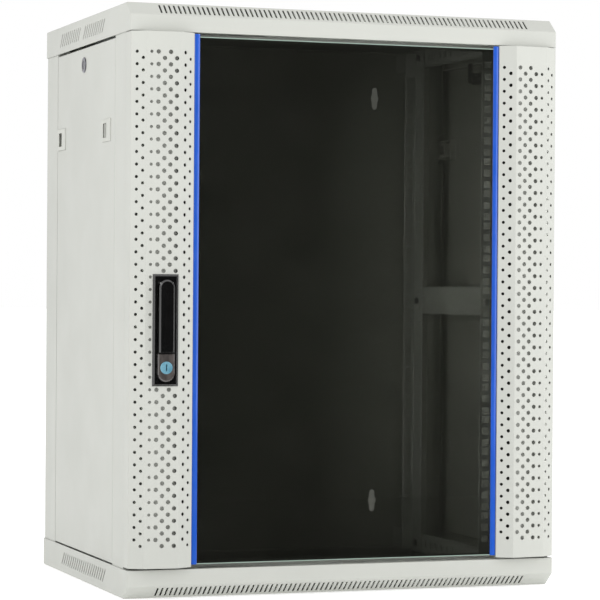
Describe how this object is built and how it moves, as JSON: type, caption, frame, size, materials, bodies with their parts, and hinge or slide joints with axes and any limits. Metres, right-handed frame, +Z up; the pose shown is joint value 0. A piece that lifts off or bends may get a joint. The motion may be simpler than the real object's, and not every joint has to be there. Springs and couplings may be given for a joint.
{
  "type": "network server rack cabinet",
  "caption": "Wall-mounted 19-inch network cabinet with glass door, perforated door wings, lockable swing handle and removable side panels.",
  "frame": {"origin": "centre of the base's bounding box, on the surface that the cabinet stands on", "axes": "+Z up, the door faces -Y, +X to the right of someone facing the door"},
  "size_m": [0.6, 0.4743, 0.77],
  "materials": {
    "painted_steel": "light grey textured powder coat",
    "rail_steel": "light grey powder coat",
    "tinted_glass": "dark tinted safety glass",
    "edge_trim": "blue moulded trim",
    "handle_black": "satin black",
    "lock_metal": "bright plated",
    "zinc_steel": "zinc plated",
    "black_screws": "black oxide",
    "latch_plastic": "moulded light grey",
    "hinge_plastic": "moulded dark grey"
  },
  "bodies": {
    "cabinet": {"bottom_bar_left": "rail_steel", "bottom_bar_right": "rail_steel", "bottom_cable_plate": "painted_steel", "bottom_cover": "painted_steel", "bottom_crossbar": "painted_steel", "cover_screws": "zinc_steel", "earth_stud": "zinc_steel", "frame_screws": "zinc_steel", "front_post_left": "painted_steel", "front_post_right": "painted_steel", "front_rail_left": "rail_steel", "front_rail_right": "rail_steel", "middle_bar_left": "rail_steel", "middle_bar_right": "rail_steel", "rail_bolts": "black_screws", "rail_nuts": "zinc_steel", "rear_cable_plates": "painted_steel", "rear_panel": "painted_steel", "rear_post_left": "painted_steel", "rear_post_right": "painted_steel", "rear_rail_left": "rail_steel", "rear_rail_right": "rail_steel", "rear_screws": "zinc_steel", "top_bar_left": "rail_steel", "top_bar_right": "rail_steel", "top_cable_plate": "painted_steel", "top_cover": "painted_steel", "top_crossbar": "painted_steel"},
    "door": {"door_channel_left": "painted_steel", "door_channel_right": "painted_steel", "door_glass": "tinted_glass", "door_wing_left": "painted_steel", "door_wing_right": "painted_steel", "edge_strip_left": "edge_trim", "edge_strip_right": "edge_trim", "hinge_block_bottom": "hinge_plastic", "hinge_block_top": "hinge_plastic", "hinge_pin_bottom": "zinc_steel", "hinge_washer": "hinge_plastic", "hinge_pin_spring": "zinc_steel", "handle_plate": "handle_black"},
    "hinge_pin_release": {"hinge_pin_top": "zinc_steel"},
    "handle_swivel_head": {"handle_swivel": "zinc_steel", "lever_pin": "zinc_steel", "latch_cam": "zinc_steel", "cam_nut": "zinc_steel"},
    "handle_lever": {"handle_lever": "handle_black"},
    "lock_cylinder": {"lock_plug": "lock_metal"},
    "side_panel_right": {"side_panel_right": "painted_steel", "panel_latch_housings_right": "latch_plastic", "side_lock_barrel_right": "lock_metal"},
    "panel_latch_front_right": {"panel_latch_front_right": "latch_plastic"},
    "panel_latch_rear_right": {"panel_latch_rear_right": "latch_plastic"},
    "side_lock_cam_right": {"side_lock_plug_right": "lock_metal"},
    "side_panel_left": {"side_panel_left": "painted_steel", "panel_latch_housings_left": "latch_plastic", "side_lock_barrel_left": "lock_metal"},
    "panel_latch_front_left": {"panel_latch_front_left": "latch_plastic"},
    "panel_latch_rear_left": {"panel_latch_rear_left": "latch_plastic"},
    "side_lock_cam_left": {"side_lock_plug_left": "lock_metal"}
  },
  "joints": [
    {"name": "door_hinge", "type": "hinge", "parent": "cabinet", "child": "door", "pos_m": [0.295, -0.19489, 0.386], "axis": [0, 0, 1], "range_deg": [0, 120]},
    {"name": "hinge_pin_slide", "type": "slide", "parent": "door", "child": "hinge_pin_release", "axis": [0, 0, -1], "range_m": [0, 0.008], "stiffness_N_per_m": 150, "springref_m": -0.01, "deforming": ["hinge_pin_spring"]},
    {"name": "handle_turn", "type": "hinge", "parent": "door", "child": "handle_swivel_head", "pos_m": [-0.25473, -0.22963, 0.3992], "axis": [-0.0658, -0.9978, 0], "range_deg": [0, 90]},
    {"name": "lever_lift", "type": "hinge", "parent": "handle_swivel_head", "child": "handle_lever", "pos_m": [-0.25486, -0.23162, 0.4072], "axis": [-0.9978, 0.0658, 0], "range_deg": [0, 18]},
    {"name": "lock_turn", "type": "hinge", "parent": "door", "child": "lock_cylinder", "pos_m": [-0.25473, -0.22963, 0.2992], "axis": [-0.0658, -0.9978, 0], "range_deg": [0, 90]},
    {"name": "side_panel_tilt_right", "type": "hinge", "parent": "cabinet", "child": "side_panel_right", "pos_m": [0.292, 0.01912, 0.041], "axis": [0, 1, 0], "range_deg": [0, 18]},
    {"name": "latch_slide_front_right", "type": "slide", "parent": "side_panel_right", "child": "panel_latch_front_right", "axis": [0, 1, 0], "range_m": [0, 0.006], "stiffness_N_per_m": 150, "springref_m": -0.01},
    {"name": "latch_slide_rear_right", "type": "slide", "parent": "side_panel_right", "child": "panel_latch_rear_right", "axis": [0, -1, 0], "range_m": [0, 0.006], "stiffness_N_per_m": 150, "springref_m": -0.01},
    {"name": "side_lock_turn_right", "type": "hinge", "parent": "side_panel_right", "child": "side_lock_cam_right", "pos_m": [0.29, 0.02571, 0.706], "axis": [1, 0, 0], "range_deg": [0, 90]},
    {"name": "side_panel_tilt_left", "type": "hinge", "parent": "cabinet", "child": "side_panel_left", "pos_m": [-0.292, 0.01912, 0.041], "axis": [0, -1, 0], "range_deg": [0, 18]},
    {"name": "latch_slide_front_left", "type": "slide", "parent": "side_panel_left", "child": "panel_latch_front_left", "axis": [0, 1, 0], "range_m": [0, 0.006], "stiffness_N_per_m": 150, "springref_m": -0.01},
    {"name": "latch_slide_rear_left", "type": "slide", "parent": "side_panel_left", "child": "panel_latch_rear_left", "axis": [0, -1, 0], "range_m": [0, 0.006], "stiffness_N_per_m": 150, "springref_m": -0.01},
    {"name": "side_lock_turn_left", "type": "hinge", "parent": "side_panel_left", "child": "side_lock_cam_left", "pos_m": [-0.29, 0.02571, 0.706], "axis": [-1, 0, 0], "range_deg": [0, 90]}
  ]
}
